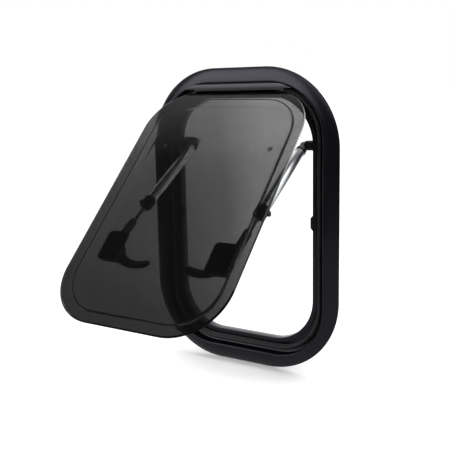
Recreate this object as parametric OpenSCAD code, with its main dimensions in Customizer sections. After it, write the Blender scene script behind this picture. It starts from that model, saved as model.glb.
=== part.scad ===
// Top-hung caravan window standing open. Millimetres, Z up, Y into the vehicle.
// The origin lies on the flat back of the bottom flange, midway across its width.

/* [Frame] */
// Outer width of the frame
frame_w = 360; // [300:1:460]
// Outer height of the frame
frame_h = 510; // [440:1:640]
// Outer corner radius of the frame
frame_r = 131; // [110:1:150]
// Width of the front flange, seen from outside
flange_w = 26; // [20:1:32]
// Width of the flange crest that runs flat to the recess
crest_w = 8; // [5:1:12]
// Height of the flange crest above its flat back
crest_h = 9; // [6:0.5:12]
// Thickness of the flange at its outer edge
flange_lip = 1.2; // [0.8:0.1:2]
// Corner radius of the recess that takes the pane
recess_r = 90; // [70:1:100]
// Wall thickness of the moulded frame
frame_wall = 2.5; // [2:0.1:4]
// Distance from the frame edge to the clear opening
open_inset = 50.5; // [46:0.5:58]
// Corner radius of the clear opening
open_r = 76; // [60:1:90]
// Width of the raised lip round the clear opening
lip_w = 8; // [5:0.5:10]
// Depth of the lip face behind the flange back
lip_depth = 6.7; // [5:0.1:9]
// Depth of the recess floor behind the flange back
floor_depth = 10; // [8:0.5:14]
// Depth of the collar behind the flange back
collar_depth = 22; // [18:1:40]

/* [Seal] */
// Distance from the frame edge to the middle of the seal
seal_inset = 36; // [34:0.5:38]
// Radius of the seal bulb
bulb_r = 3; // [2:0.1:3.4]
// Height of the seal above the recess floor
seal_h = 11.2; // [9:0.1:12]
// Width of the seal foot
seal_foot_w = 9; // [6:0.5:10]
// Thickness of the seal foot
seal_foot_t = 2.5; // [1.5:0.1:3]
// Thickness of the seal web
seal_web_t = 2.4; // [1.5:0.1:3]

/* [Hinge] */
// Height of the hinge axis in front of the flange back
axis_out = 14.2; // [12:0.1:18]
// Distance from the frame edge down to the hinge axis
axis_inset = 30.6; // [30:0.1:34]
// Outer radius of the rail channel
channel_r = 4.5; // [4.2:0.1:5]
// Radius of the bead that turns in the channel
bead_r = 2.9; // [2.4:0.1:3.2]
// Running clearance round the bead
bead_gap = 0.25; // [0.2:0.05:0.5]
// Thickness of the rail foot and of the hanger leg
rail_t = 2.2; // [1.6:0.1:3]
// Reach of the hanger strip past the straight top of the recess
hanger_reach = 20; // [10:1:24]
// Length of the hanger leg behind the pane
hanger_leg = 17; // [12:1:17]

/* [Pane] */
// Opening angle of the pane
open_angle = 45.5; // [0:0.5:60]
// Gap between the closed pane and the recess at each side
side_gap = 5.5; // [3:0.5:8]
// Gap between the closed pane and the recess at the bottom
foot_gap = 1.4; // [1:0.1:4]
// Pane corner radius
pane_r = 84; // [60:1:90]
// Thickness of the outer sheet
sheet_t = 4; // [3:0.5:5]
// Thickness of the inner sheet
inner_t = 1.6; // [1.2:0.1:2.5]
// Depth of the pane face behind the hinge axis
pane_back = 7; // [5:0.5:9]
// Gap from the hinge axis down to the pane edge
pane_drop = 2; // [1:0.5:4]
// Margin from the pane edge to the formed tray
tray_inset = 18.8; // [18:0.1:26]
// Corner radius at the root of the tray
tray_r = 68; // [50:1:74]
// Run of the sloping tray wall
tray_slope = 6; // [4:0.5:9]
// Height of the tray from the outer sheet to its inner face
tray_h = 13; // [10:0.5:18]
// Distance of the vent plugs inside the edge of the clear opening
plug_in = 30.5; // [22:0.5:40]
// Distance of the vent plugs from the pane edge
plug_s = 111; // [90:1:130]
// Diameter of a vent plug
plug_d = 9; // [6:0.5:12]

/* [Stays] */
// Distance of both stays inside the edge of the clear opening
stay_in = 23.5; // [22:0.5:30]
// Distance of the upper stay pivot below the start of the opening corner
pivot_drop = 1.5; // [1:0.5:20]
// Depth of the upper stay pivot behind the flange back
pivot_depth = 25; // [24:0.5:40]
// Height of the lower stay pivot above the tray
foot_h = 15; // [12:0.5:20]
// Outer diameter of the stay tube
tube_d = 17; // [14:0.5:20]
// Wall thickness of the stay tube
tube_wall = 1.2; // [0.8:0.1:2]
// Length of the stay tube
tube_l = 158; // [110:1:172]
// Distance from the upper pivot to the tube
tube_start = 13; // [12:0.5:18]
// Diameter of the inner rod
rod_d = 6; // [5:0.5:8]
// Diameter of the clamp collar
clamp_d = 20; // [20:0.5:26]
// Length of the clamp collar
clamp_l = 19; // [16:0.5:24]
// Diameter of the stay pins
pin_d = 5; // [4:0.5:6]
// Length of the rod end
rod_end_l = 54; // [20:1:60]

/* [Latches] */
// Distance of the latches inside the edge of the clear opening
latch_in = 31.5; // [29:0.5:40]
// Distance of the latches from the pane edge
latch_s = 312; // [310:1:330]
// Width of the latch base
latch_w = 38; // [30:1:42]
// Length of the latch base
latch_l = 52; // [40:1:52]
// Height of the latch base
latch_h = 13; // [8:0.5:16]
// Radius of the lever bow as a share of its distance from the middle
lever_share = 0.55; // [0.5:0.01:0.7]
// Angle that the lever bow covers
lever_sweep = 66; // [50:1:80]
// Angle of the lever bow below the level, at its root
lever_root = 44; // [30:1:60]
// Drop of the lever bow below the spindle
lever_drop = 2; // [0:0.5:6]
// Width of the latch lever
lever_w = 18; // [10:0.5:18]
// Thickness of the latch lever
lever_t = 8; // [4:0.5:9]
// Height of the frame pads above the window middle
pad_up = 2; // [-20:1:40]
// Length of a frame pad
pad_l = 25; // [15:1:35]

/* [Hidden] */
$fn = 48;
small = 0.01;
cut = 1;
fit_gap = 0.2;
origin_up = flange_w / 2 - 1;
mid_z = frame_h / 2 - origin_up;
far = 2 * (frame_w + frame_h);

tub_inset = flange_w - frame_wall;
tub_w = frame_w - 2 * tub_inset;
tub_h = frame_h - 2 * tub_inset;
tub_r = recess_r + frame_wall;
recess_w = frame_w - 2 * flange_w;
recess_h = frame_h - 2 * flange_w;
open_w = frame_w - 2 * open_inset;
open_h = frame_h - 2 * open_inset;
tub_back = floor_depth + frame_wall;
dome_w = flange_w - crest_w;
dome_rise = crest_h - flange_lip;
dome_r = (dome_w * dome_w + dome_rise * dome_rise) / (2 * dome_rise);
crest_reach = crest_w + (frame_r - recess_r - flange_w) + crest_w;

seal_w = frame_w - 2 * seal_inset;
seal_l = frame_h - 2 * seal_inset;
seal_r = recess_r - (seal_inset - flange_w);

axis_y = frame_h / 2 - axis_inset;
axis_z = axis_out;
rail_w = recess_w - 2 * fit_gap;
rail_l = recess_h - 2 * small;

pane_face = axis_z - pane_back;
pane_top = axis_y - pane_drop;
pane_w = recess_w - 2 * side_gap;
pane_h = pane_top + recess_h / 2 - foot_gap;
hanger_half = recess_w / 2 - recess_r + hanger_reach;
pane_mid = pane_top - pane_h / 2;
bond = pane_face - sheet_t;
leaf = bond - inner_t;
tray_w = pane_w - 2 * tray_inset;
tray_l = pane_h - 2 * tray_inset;
tray_back = bond - tray_h;
foot_run = tray_slope - inner_t;

base_foot = 4;
eye_r = 6;
lug_w = 2.2;
stay_x = open_w / 2 - stay_in;
latch_x = open_w / 2 - latch_in;
lever_r = lever_share * latch_x;
plug_x = open_w / 2 - plug_in;
pivot_y = open_h / 2 - open_r - pivot_drop;
pivot_z = -pivot_depth;
seat_l = 2 * eye_r + 2 * lug_w;
foot_y = pane_top - latch_s + latch_l / 2 - seat_l / 2;
foot_z = tray_back - foot_h;
seat_h = foot_h - base_foot - lug_w / 2;
foot_dy = foot_y - axis_y;
foot_dz = foot_z - axis_z;
foot_open_y = axis_y + foot_dy * cos(open_angle) + foot_dz * sin(open_angle);
foot_open_z = axis_z - foot_dy * sin(open_angle) + foot_dz * cos(open_angle);
stay_dy = foot_open_y - pivot_y;
stay_dz = foot_open_z - pivot_z;
stay_l = sqrt(stay_dy * stay_dy + stay_dz * stay_dz);
stay_turn = atan2(stay_dz, -stay_dy);

bracket_t = 3;
bracket_w = 18;
bracket_h = 16;
eye_w = 7;
foot_w = eye_w + 2 * lug_w + 2 * fit_gap;
clamp_at = tube_start + tube_l - clamp_l / 2;
rib_n = 6;
knob_stem = 1.5;
knob_d = 9;
knob_h = 4;
latch_r = 7;
base_step = 4;
spindle_r = 6;
spindle_h = 3;
hub_r = 11;
lever_step = 0.5;
cap_r = 8.5;
pad_t = 4.5;
pad_w = 8;

// Stands the window upright: x across, y up from the window middle, z out of the vehicle.
module stand() {
    translate([0, 0, mid_z]) rotate([90, 0, 0]) children();
}

// Swings the pane group, drawn closed, out about the hinge axis.
module swing() {
    stand()
        translate([0, axis_y, axis_z]) rotate([-open_angle, 0, 0])
            translate([0, -axis_y, -axis_z]) children();
}

// Lays a stay piece, drawn along -y from the upper pivot, towards the lower pivot.
module along_stay(side) {
    stand()
        translate([side * stay_x, pivot_y, pivot_z]) rotate([-stay_turn, 0, 0]) children();
}

// Draws a piece of the right-hand side, or its mirror image.
module on_side(side) {
    mirror([side < 0 ? 1 : 0, 0, 0]) children();
}

module rounded(w, h, r) {
    square([w, h - 2 * r], center = true);
    square([w - 2 * r, h], center = true);
    for (x = [-1, 1]) for (y = [-1, 1])
        translate([x * (w / 2 - r), y * (h / 2 - r)]) circle(r = r);
}

module slab(w, h, r, z0, z1) {
    translate([0, 0, z0]) linear_extrude(z1 - z0) rounded(w, h, r);
}

// Carries a section round a rounded rectangle; section x points outwards, section y out.
module loop(w, h, r) {
    for (k = [0:3]) {
        a = k % 2 == 0 ? w : h;
        b = k % 2 == 0 ? h : w;
        rotate([0, 0, 90 * k]) {
            translate([a / 2, b / 2 - r, 0]) rotate([90, 0, 0]) linear_extrude(b - 2 * r) children();
            translate([a / 2 - r, b / 2 - r, 0]) rotate_extrude(angle = 90) translate([r, 0]) children();
        }
    }
}

module flange_section() {
    intersection() {
        translate([-dome_w, crest_h - dome_r]) circle(r = dome_r, $fn = 96);
        translate([-dome_w, 0]) square([dome_w, crest_h + cut]);
    }
    translate([-dome_w - crest_reach, 0]) square([crest_reach, crest_h]);
}

module outer_frame() color("#1c1c20") stand() difference() {
    union() {
        loop(frame_w, frame_h, frame_r) flange_section();
        slab(tub_w, tub_h, tub_r, -tub_back, frame_wall);
        slab(open_w + 2 * frame_wall, open_h + 2 * frame_wall, open_r + frame_wall, -collar_depth, 0);
    }
    difference() {
        slab(recess_w, recess_h, recess_r, -floor_depth, crest_h + cut);
        slab(open_w + 2 * lip_w, open_h + 2 * lip_w, open_r + lip_w, -far, -lip_depth);
    }
    slab(open_w, open_h, open_r, -far, far);
}

module seal_section() {
    translate([-seal_foot_w / 2, -floor_depth]) square([seal_foot_w, seal_foot_t]);
    translate([-seal_web_t / 2, -floor_depth]) square([seal_web_t, seal_h - bulb_r]);
    translate([0, seal_h - bulb_r - floor_depth]) circle(r = bulb_r);
}

module frame_seal() color("#0c0c0e") stand() loop(seal_w, seal_l, seal_r) seal_section();

module across(half) {
    translate([-half, 0, 0]) rotate([90, 0, 90]) linear_extrude(2 * half) children();
}

// Rail section: foot on the recess wall, a flat face and a channel that opens inwards and down.
module rail_section() {
    difference() {
        union() {
            translate([axis_y, axis_z]) circle(r = channel_r);
            translate([axis_y - channel_r / 2, axis_z])
                square([recess_h / 2 - axis_y + channel_r / 2, channel_r]);
            translate([recess_h / 2 - rail_t, -floor_depth]) square([rail_t, floor_depth + axis_z]);
        }
        translate([axis_y, axis_z]) circle(r = bead_r + bead_gap);
        translate([axis_y, axis_z])
            polygon([[0, 0], [-far, far * 0.1], [-far, -far], [rail_t / 2, -far], [rail_t / 2, 0]]);
    }
}

module hinge_rail() color("#3a3a40") stand() intersection() {
    across(recess_w) rail_section();
    slab(rail_w, recess_h, recess_r - fit_gap, -floor_depth, far);
}

module hanger_section() {
    translate([axis_y, axis_z]) circle(r = bead_r);
    translate([axis_y - rail_t / 2, leaf - rail_t]) square([rail_t, axis_z - leaf + rail_t]);
    translate([axis_y + rail_t / 2 - hanger_leg, leaf - rail_t]) square([hanger_leg, rail_t]);
}

module pane_hanger() color("#3a3a40") swing() across(hanger_half) hanger_section();

module outer_sheet() color("#3c3f42") swing() translate([0, pane_mid, 0])
    slab(pane_w, pane_h, pane_r, bond, pane_face);

module tray_wall() {
    polygon([[0, bond], [inner_t, leaf], [inner_t - tray_slope, tray_back], [-tray_slope, tray_back]]);
}

module inner_sheet() color("#4a4d50") swing() translate([0, pane_mid, 0]) {
    difference() {
        slab(pane_w - inner_t, pane_h - inner_t, pane_r - inner_t / 2, leaf, bond);
        slab(tray_w, tray_l, tray_r, -far, far);
    }
    loop(tray_w, tray_l, tray_r) tray_wall();
    slab(tray_w - 2 * foot_run, tray_l - 2 * foot_run, tray_r - foot_run, tray_back, tray_back + inner_t);
}

module vent_plug(side) color("#d8dadc") swing()
    translate([side * plug_x, pane_top - plug_s, tray_back - plug_d / 6]) {
        cylinder(d = plug_d, h = plug_d / 6);
        translate([0, 0, -plug_d / 8]) cylinder(d = plug_d / 2, h = plug_d / 8 + small);
    }
module vent_plug_left() vent_plug(-1);
module vent_plug_right() vent_plug(1);

module frame_pad(side) color("#0e0e10") stand() on_side(side)
    translate([open_w / 2, pad_up, -lip_depth]) rotate([0, 180, 0]) linear_extrude(pad_w)
        polygon([[0, -pad_l / 2], [pad_t, -pad_l / 2 + pad_t], [pad_t, pad_l / 2 - pad_t], [0, pad_l / 2]]);
module frame_pad_left() frame_pad(-1);
module frame_pad_right() frame_pad(1);

// Bracket: plate on the collar wall and an arm that carries the pivot pin.
module stay_bracket(side) color("#121214") stand() on_side(side) {
    translate([open_w / 2 - bracket_t, pivot_y + pivot_drop - bracket_w, pivot_z - bracket_h / 2])
        cube([bracket_t, bracket_w, bracket_w]);
    difference() {
        translate([stay_x + eye_w / 2 + fit_gap, pivot_y - bracket_h / 2, pivot_z - bracket_h / 2])
            cube([open_w / 2 - stay_x - eye_w / 2 - fit_gap - bracket_t + small, bracket_h, bracket_h]);
        translate([stay_x, pivot_y, pivot_z]) rotate([0, 90, 0])
            cylinder(d = pin_d + fit_gap, h = open_w, center = true);
    }
}
module stay_bracket_left() stay_bracket(-1);
module stay_bracket_right() stay_bracket(1);

module bracket_pin(side) color("#b9bbbe") stand() on_side(side)
    translate([stay_x - eye_w / 2 - fit_gap - pin_d / 2, pivot_y, pivot_z]) rotate([0, 90, 0]) {
        cylinder(d = 2 * pin_d, h = pin_d / 2);
        cylinder(d = pin_d, h = open_w / 2 - bracket_t - stay_x + eye_w / 2 + fit_gap + pin_d / 2);
    }
module bracket_pin_left() bracket_pin(-1);
module bracket_pin_right() bracket_pin(1);

// Eye at the head of the tube, with a plug that fills the tube end.
module tube_eye(side) color("#121214") along_stay(side) difference() {
    union() {
        rotate([0, 90, 0]) cylinder(r = eye_r, h = eye_w, center = true);
        translate([-eye_w / 2, -tube_start, -eye_r]) cube([eye_w, tube_start, 2 * eye_r]);
        translate([0, -tube_start, 0]) rotate([90, 0, 0])
            cylinder(d = tube_d - 2 * tube_wall - fit_gap, h = eye_w);
    }
    rotate([0, 90, 0]) cylinder(d = pin_d + fit_gap, h = tube_d, center = true);
}
module tube_eye_left() tube_eye(-1);
module tube_eye_right() tube_eye(1);

module stay_tube(side) color("#c9cccf") along_stay(side)
    translate([0, -tube_start, 0]) rotate([90, 0, 0]) difference() {
        cylinder(d = tube_d, h = tube_l);
        translate([0, 0, -cut]) cylinder(d = tube_d - 2 * tube_wall, h = tube_l + 2 * cut);
    }
module stay_tube_left() stay_tube(-1);
module stay_tube_right() stay_tube(1);

module stay_clamp(side) color("#121214") along_stay(side)
    translate([0, -clamp_at, 0]) rotate([90, 0, 0]) difference() {
        union() {
            cylinder(d = clamp_d - 1.6, h = clamp_l);
            for (k = [0:rib_n - 1])
                translate([0, 0, k * clamp_l / rib_n]) cylinder(d = clamp_d, h = clamp_l / rib_n / 2);
        }
        translate([0, 0, -cut]) cylinder(d = rod_d + 2 * fit_gap, h = clamp_l + 2 * cut);
        translate([0, 0, -cut]) cylinder(d = tube_d + fit_gap, h = clamp_l / 2 + cut);
    }
module stay_clamp_left() stay_clamp(-1);
module stay_clamp_right() stay_clamp(1);

module clamp_knob(side) color("#101012") along_stay(side) on_side(side)
    translate([clamp_d / 2 - fit_gap, -clamp_at - clamp_l / 2, 0]) rotate([0, 90, 0]) {
        cylinder(d = rod_d, h = knob_stem);
        translate([0, 0, knob_stem]) cylinder(d = knob_d, h = knob_h);
    }
module clamp_knob_left() clamp_knob(-1);
module clamp_knob_right() clamp_knob(1);

module stay_rod(side) color("#d5d7d9") along_stay(side)
    translate([0, -tube_start - tube_l / 2, 0]) rotate([90, 0, 0])
        cylinder(d = rod_d, h = stay_l - tube_start - tube_l / 2 - eye_r - fit_gap);
module stay_rod_left() stay_rod(-1);
module stay_rod_right() stay_rod(1);

module rod_end(side) color("#121214") along_stay(side) translate([0, -stay_l, 0]) difference() {
    union() {
        rotate([0, 90, 0]) cylinder(r = eye_r, h = eye_w, center = true);
        translate([-eye_w / 2, 0, -eye_r]) cube([eye_w, rod_end_l - eye_r, 2 * eye_r]);
    }
    rotate([0, 90, 0]) cylinder(d = pin_d + fit_gap, h = tube_d, center = true);
    translate([0, eye_r, 0]) rotate([-90, 0, 0]) cylinder(d = rod_d, h = far);
}
module rod_end_left() rod_end(-1);
module rod_end_right() rod_end(1);

// Foot on the latch plate: a small plate with two lugs that hold the rod end.
module stay_foot(side) color("#141416") swing()
    translate([side * stay_x, foot_y, tray_back]) difference() {
        union() {
            translate([-foot_w / 2, -eye_r - lug_w / 2, -base_foot - lug_w])
                cube([foot_w, 2 * eye_r + lug_w, lug_w]);
            for (x = [-1, 1])
                translate([x * (foot_w - lug_w) / 2, 0, -foot_h]) rotate([0, 90, 0]) {
                    cylinder(r = eye_r, h = lug_w, center = true);
                    translate([-seat_h, -eye_r, -lug_w / 2]) cube([seat_h, 2 * eye_r, lug_w]);
                }
        }
        translate([0, 0, -foot_h]) rotate([0, 90, 0])
            cylinder(d = pin_d + fit_gap, h = foot_w + cut, center = true);
    }
module stay_foot_left() stay_foot(-1);
module stay_foot_right() stay_foot(1);

module foot_pin(side) color("#b9bbbe") swing()
    translate([side * stay_x, foot_y, foot_z]) rotate([0, 90, 0]) {
        cylinder(d = pin_d, h = foot_w + 2 * lug_w / 3, center = true);
        for (x = [-1, 1])
            translate([0, 0, x * (foot_w / 2 + lug_w / 3)])
                cylinder(d = 1.6 * pin_d, h = lug_w / 2, center = true);
    }
module foot_pin_left() foot_pin(-1);
module foot_pin_right() foot_pin(1);

module at_latch(side) {
    swing() translate([side * latch_x, pane_top - latch_s, tray_back]) on_side(side) children();
}

// Latch base: a foot plate with a seat for the stay foot, and a block that holds the spindle.
module latch_base(side) color("#101012") at_latch(side) {
    slab(latch_w, latch_l, latch_r, -base_foot, 0);
    translate([0, -seat_l / 2, 0])
        slab(latch_w - base_step, latch_l - base_step - seat_l, latch_r - base_step / 2,
             -latch_h, -base_foot / 2);
}
module latch_base_left() latch_base(-1);
module latch_base_right() latch_base(1);

// Lever: a round hub on the spindle and a flat bow that dips and rises towards the middle.
module latch_lever(side) color("#0d0d0f") at_latch(side) translate([0, 0, -latch_h]) {
    translate([0, 0, -spindle_h - lever_t / 2]) cylinder(r = spindle_r, h = spindle_h + lever_t / 2);
    translate([0, 0, -spindle_h - lever_t]) cylinder(r = hub_r, h = lever_t);
    translate([-lever_r * cos(lever_root), lever_r * sin(lever_root) - lever_drop, -spindle_h - lever_t])
        rotate([0, 0, -lever_root - lever_sweep]) {
            rotate_extrude(angle = lever_sweep)
                translate([lever_r - lever_w / 2, lever_step]) square([lever_w, lever_t - 2 * lever_step]);
            translate([lever_r, 0, lever_step / 2])
                cylinder(d = lever_w + base_foot / 2, h = lever_t - lever_step);
        }
}
module latch_lever_left() latch_lever(-1);
module latch_lever_right() latch_lever(1);

module latch_cap(side) color("#17171a") at_latch(side)
    translate([0, 0, -latch_h - spindle_h - lever_t - spindle_h]) cylinder(r = cap_r, h = spindle_h);
module latch_cap_left() latch_cap(-1);
module latch_cap_right() latch_cap(1);

outer_frame();
frame_seal();
hinge_rail();
pane_hanger();
outer_sheet();
inner_sheet();
vent_plug_left();
vent_plug_right();
frame_pad_left();
frame_pad_right();
stay_bracket_left();
stay_bracket_right();
bracket_pin_left();
bracket_pin_right();
tube_eye_left();
tube_eye_right();
stay_tube_left();
stay_tube_right();
stay_clamp_left();
stay_clamp_right();
clamp_knob_left();
clamp_knob_right();
stay_rod_left();
stay_rod_right();
rod_end_left();
rod_end_right();
stay_foot_left();
stay_foot_right();
foot_pin_left();
foot_pin_right();
latch_base_left();
latch_base_right();
latch_lever_left();
latch_lever_right();
latch_cap_left();
latch_cap_right();
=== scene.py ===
# %% [markdown]
# # A top-hung caravan window, standing open
# The window is a black moulded frame, a smoked double acrylic pane that hangs from a rail in its top,
# two telescopic stays and two latches.

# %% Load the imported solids
import bmesh
import bpy
from math import atan2, cos, pi, radians, sin, sqrt
from mathutils import Matrix, Vector


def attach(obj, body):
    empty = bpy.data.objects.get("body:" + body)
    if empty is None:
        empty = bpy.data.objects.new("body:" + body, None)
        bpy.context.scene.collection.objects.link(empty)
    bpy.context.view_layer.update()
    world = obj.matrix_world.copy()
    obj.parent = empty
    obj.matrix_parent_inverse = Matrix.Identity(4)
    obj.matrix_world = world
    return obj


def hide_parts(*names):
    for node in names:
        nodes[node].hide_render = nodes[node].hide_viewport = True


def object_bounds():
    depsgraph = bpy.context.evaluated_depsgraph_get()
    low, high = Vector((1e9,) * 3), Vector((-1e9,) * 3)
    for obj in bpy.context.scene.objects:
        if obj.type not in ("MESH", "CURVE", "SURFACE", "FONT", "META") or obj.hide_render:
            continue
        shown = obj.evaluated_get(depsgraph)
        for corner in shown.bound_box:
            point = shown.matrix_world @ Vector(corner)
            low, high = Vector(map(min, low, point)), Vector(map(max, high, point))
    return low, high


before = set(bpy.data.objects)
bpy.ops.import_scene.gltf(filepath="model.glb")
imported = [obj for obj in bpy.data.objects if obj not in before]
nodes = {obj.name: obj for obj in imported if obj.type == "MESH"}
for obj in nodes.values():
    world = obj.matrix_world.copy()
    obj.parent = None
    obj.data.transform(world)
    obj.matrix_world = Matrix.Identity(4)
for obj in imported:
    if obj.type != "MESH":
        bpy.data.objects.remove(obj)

cad_low, cad_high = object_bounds()
print("nodes:", len(nodes), "box:", tuple(cad_low), tuple(cad_high))

# %% [markdown]
# ## The sizes that the pieces share
# All lengths are written in millimetres, as a workshop drawing has them. The window is drawn flat first:
# x across, y up from its middle and z out of the vehicle. One matrix stands it up and turns
# millimetres into metres, and a second one swings the pane group out about the hinge axis.

# %% Main sizes, in millimetres
FRAME_W, FRAME_H, FRAME_R = 360.0, 510.0, 131.0
FLANGE_W, CREST_H, FLANGE_LIP = 26.0, 9.0, 1.2
RECESS_R, OPEN_INSET = 90.0, 50.5
AXIS_Y, AXIS_Z, OPEN_ANGLE = 224.4, 14.2, 45.5
PANE_W, PANE_H, PANE_R = 297.0, 450.0, 84.0
SHEET_T, INNER_T = 4.0, 1.6
PANE_FACE = AXIS_Z - 7.0
PANE_TOP = AXIS_Y - 2.0
PANE_MID = PANE_TOP - PANE_H / 2
BOND = PANE_FACE - SHEET_T
TRAY_INSET, TRAY_R, TRAY_SLOPE, TRAY_H = 18.8, 68.0, 6.0, 13.0
TRAY_BACK = BOND - TRAY_H
ORIGIN_UP = 12.0  # the origin lies on the back of the bottom flange, this far above its lower edge
MID_Z = FRAME_H / 2 - ORIGIN_UP

# %% Matrices that stand the window up and swing the pane
stand = Matrix.Translation((0, 0, MID_Z / 1000)) @ Matrix.Rotation(pi / 2, 4, "X") @ Matrix.Scale(0.001, 4)
hinge = Matrix.Translation((0, AXIS_Y, AXIS_Z))
swing = stand @ hinge @ Matrix.Rotation(-radians(OPEN_ANGLE), 4, "X") @ hinge.inverted()
print("the middle of the window is", round(MID_Z), "mm above the origin")

# %% [markdown]
# ## Camera
# The photograph was taken from outside, to the right of the window and slightly above it. A camera was
# fitted to the edges of the frame and the pane, which gave its place, its turn and its lens.

# %% Camera at the photograph's angle
yaw, pitch, roll = radians(32.36), radians(10.605), radians(-1.241)
forward = Vector((-sin(yaw) * cos(pitch), cos(yaw) * cos(pitch), -sin(pitch)))
right = Vector((cos(yaw), sin(yaw), 0))
above = right.cross(forward)
cam_x = cos(roll) * right + sin(roll) * above
cam_y = -sin(roll) * right + cos(roll) * above
turn = Matrix((cam_x, cam_y, -forward)).transposed().to_4x4()
camera_data = bpy.data.cameras.new("camera")
camera_data.lens = 58.87
camera_data.sensor_width = 36
camera = bpy.data.objects.new("camera", camera_data)
camera.matrix_world = Matrix.Translation((0.63927, -1.06411, 0.46611)) @ turn
bpy.context.scene.collection.objects.link(camera)
bpy.context.scene.camera = camera
print("camera at", tuple(round(v, 3) for v in camera.location))

# %% [markdown]
# ## Colours and nodes
# Colours are written as sRGB hex values, as a paint chart gives them, and one function turns them into
# the linear values that Cycles works with. A second small function adds a node with its settings and
# its links. Four more say what most materials here have in common: a noise, two tones that it mixes, a
# roughness that follows it and a relief. So each material below reads as a short recipe.

# %% Helpers for colours and nodes
def linear(hex_colour, alpha=1.0):
    parts = [int(hex_colour[i:i + 2], 16) / 255 for i in (1, 3, 5)]
    return tuple(c / 12.92 if c <= 0.04045 else ((c + 0.055) / 1.055) ** 2.4 for c in parts) + (alpha,)


def add(tree, kind, settings=None, inputs=None):
    node = tree.nodes.new(kind)
    for key, value in (settings or {}).items():
        setattr(node, key, value)
    for key, value in (inputs or {}).items():
        if isinstance(value, bpy.types.NodeSocket):
            tree.links.new(value, node.inputs[key])
        else:
            node.inputs[key].default_value = value
    return node


def new_material(name):
    material = bpy.data.materials.new(name)
    material.use_nodes = True
    tree = material.node_tree
    return material, tree, tree.nodes["Principled BSDF"]


WHITE = linear("#ffffff")
print("white is", WHITE[:3])


# %% Helpers for materials
def noise(tree, vector, scale, detail=2.0):
    return add(tree, "ShaderNodeTexNoise", inputs={
        "Vector": vector, "Scale": scale, "Detail": detail}).outputs["Fac"]


def two_tones(tree, value, dark, light):
    return add(tree, "ShaderNodeMix", {"data_type": "RGBA"}, {
        0: value, 6: linear(dark), 7: linear(light)}).outputs[2]


def roughen(tree, shader, value, low, high, start=0.3, end=0.7):
    """The roughness follows a value; most of a noise lies between 0.3 and 0.7."""
    sheen = add(tree, "ShaderNodeMapRange", inputs={
        "Value": value, "From Min": start, "From Max": end, "To Min": low, "To Max": high})
    tree.links.new(sheen.outputs[0], shader.inputs["Roughness"])


def emboss(tree, shader, height, strength, distance):
    """A relief as deep as the distance, in metres; a strength below 1 softens it."""
    bump = add(tree, "ShaderNodeBump", inputs={
        "Height": height, "Strength": strength, "Distance": distance})
    tree.links.new(bump.outputs[0], shader.inputs["Normal"])


print("four helpers: noise, two tones, roughness and relief")

# %% [markdown]
# ## Floor, backdrop and light
# The window stands on a white studio floor. A glossy black frame and a smoked pane show the studio more
# than their own colour, so the floor and the world each say what a camera ray, a reflection and a view
# through the pane meet. A lamp for each highlight could do the same, but every lamp would throw a
# shadow of its own.

# %% Helpers for soft steps of light
def smooth_step(tree, value, start, end, low=0.0, high=1.0):
    return add(tree, "ShaderNodeMapRange", {"interpolation_type": "SMOOTHSTEP"}, {
        "Value": value, "From Min": start, "From Max": end, "To Min": low, "To Max": high}).outputs[0]


def larger(tree, a, b):
    return add(tree, "ShaderNodeMath", {"operation": "MAXIMUM"}, {0: a, 1: b}).outputs[0]


print("a soft step of light has a start, an end and two strengths")

# %% [markdown]
# ### What the pane looks through to
# Behind the window the studio falls off from a lit right side to a dim left side, as seen through the
# tint. This falloff is painted light: a glow whose brightness turns with the direction, so the table
# gives an angle to the left in degrees and how bright the painted studio is there. Seen from inside, the
# room in front is painted dimmer.

# %% The falloff behind the pane
PAINTED_FALLOFF = ((0, 0.9), (25, 1.0), (29, 0.92), (33, 0.50), (41, 0.33), (50, 0.27), (66, 0.19), (90, 0.17))


def painted_studio_falloff(tree, vector):
    split = add(tree, "ShaderNodeSeparateXYZ", inputs={0: vector})
    left = add(tree, "ShaderNodeMath", {"operation": "MULTIPLY"}, {0: split.outputs["X"], 1: -1.0})
    depth = add(tree, "ShaderNodeMath", {"operation": "ABSOLUTE"}, {0: split.outputs["Y"]})
    angle = add(tree, "ShaderNodeMath", {"operation": "ARCTAN2"}, {0: left.outputs[0], 1: depth.outputs[0]})
    turn = add(tree, "ShaderNodeMapRange", inputs={
        "Value": angle.outputs[0], "From Min": 0.0, "From Max": radians(90)})
    ramp = add(tree, "ShaderNodeValToRGB", inputs={0: turn.outputs[0]})
    points = ramp.color_ramp.elements
    while len(points) < len(PAINTED_FALLOFF):
        points.new(0.5)
    for point, (degrees, value) in zip(points, PAINTED_FALLOFF):
        point.position = degrees / 90
        point.color = (value, value, value, 1)
    # Painted shade: the room in front is dimmed by its direction, not by anything that blocks light.
    painted_dim_ahead = smooth_step(tree, split.outputs["Y"], -0.5, -0.1, 0.4, 1.0)
    return add(tree, "ShaderNodeVectorMath", {"operation": "SCALE"}, {
        0: ramp.outputs["Color"], "Scale": painted_dim_ahead}).outputs[0]


print("the falloff has", len(PAINTED_FALLOFF), "stops")

# %% [markdown]
# ### The floor
# The floor is one large plane of matt white paper. To the camera it glows white, except in a flat oval
# round the foot of the frame, where the paper keeps the soft shadow. A reflection meets a painted glow
# in the paper, bright near the window and behind it and dim in front, and a view through the pane meets
# the painted studio falloff, with painted shade that makes it dimmer close to the window.

# %% Floor plane
floor_bm = bmesh.new()
bmesh.ops.create_grid(floor_bm, x_segments=1, y_segments=1, size=60.0)
bmesh.ops.translate(floor_bm, verts=floor_bm.verts, vec=(0, 0, cad_low.z - 0.0004))
floor_mesh = bpy.data.meshes.new("studio_floor")
floor_bm.to_mesh(floor_mesh)
floor_bm.free()
floor = bpy.data.objects.new("studio_floor", floor_mesh)
bpy.context.scene.collection.objects.link(floor)
print("floor at", round(cad_low.z * 1000, 1), "mm")

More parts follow.
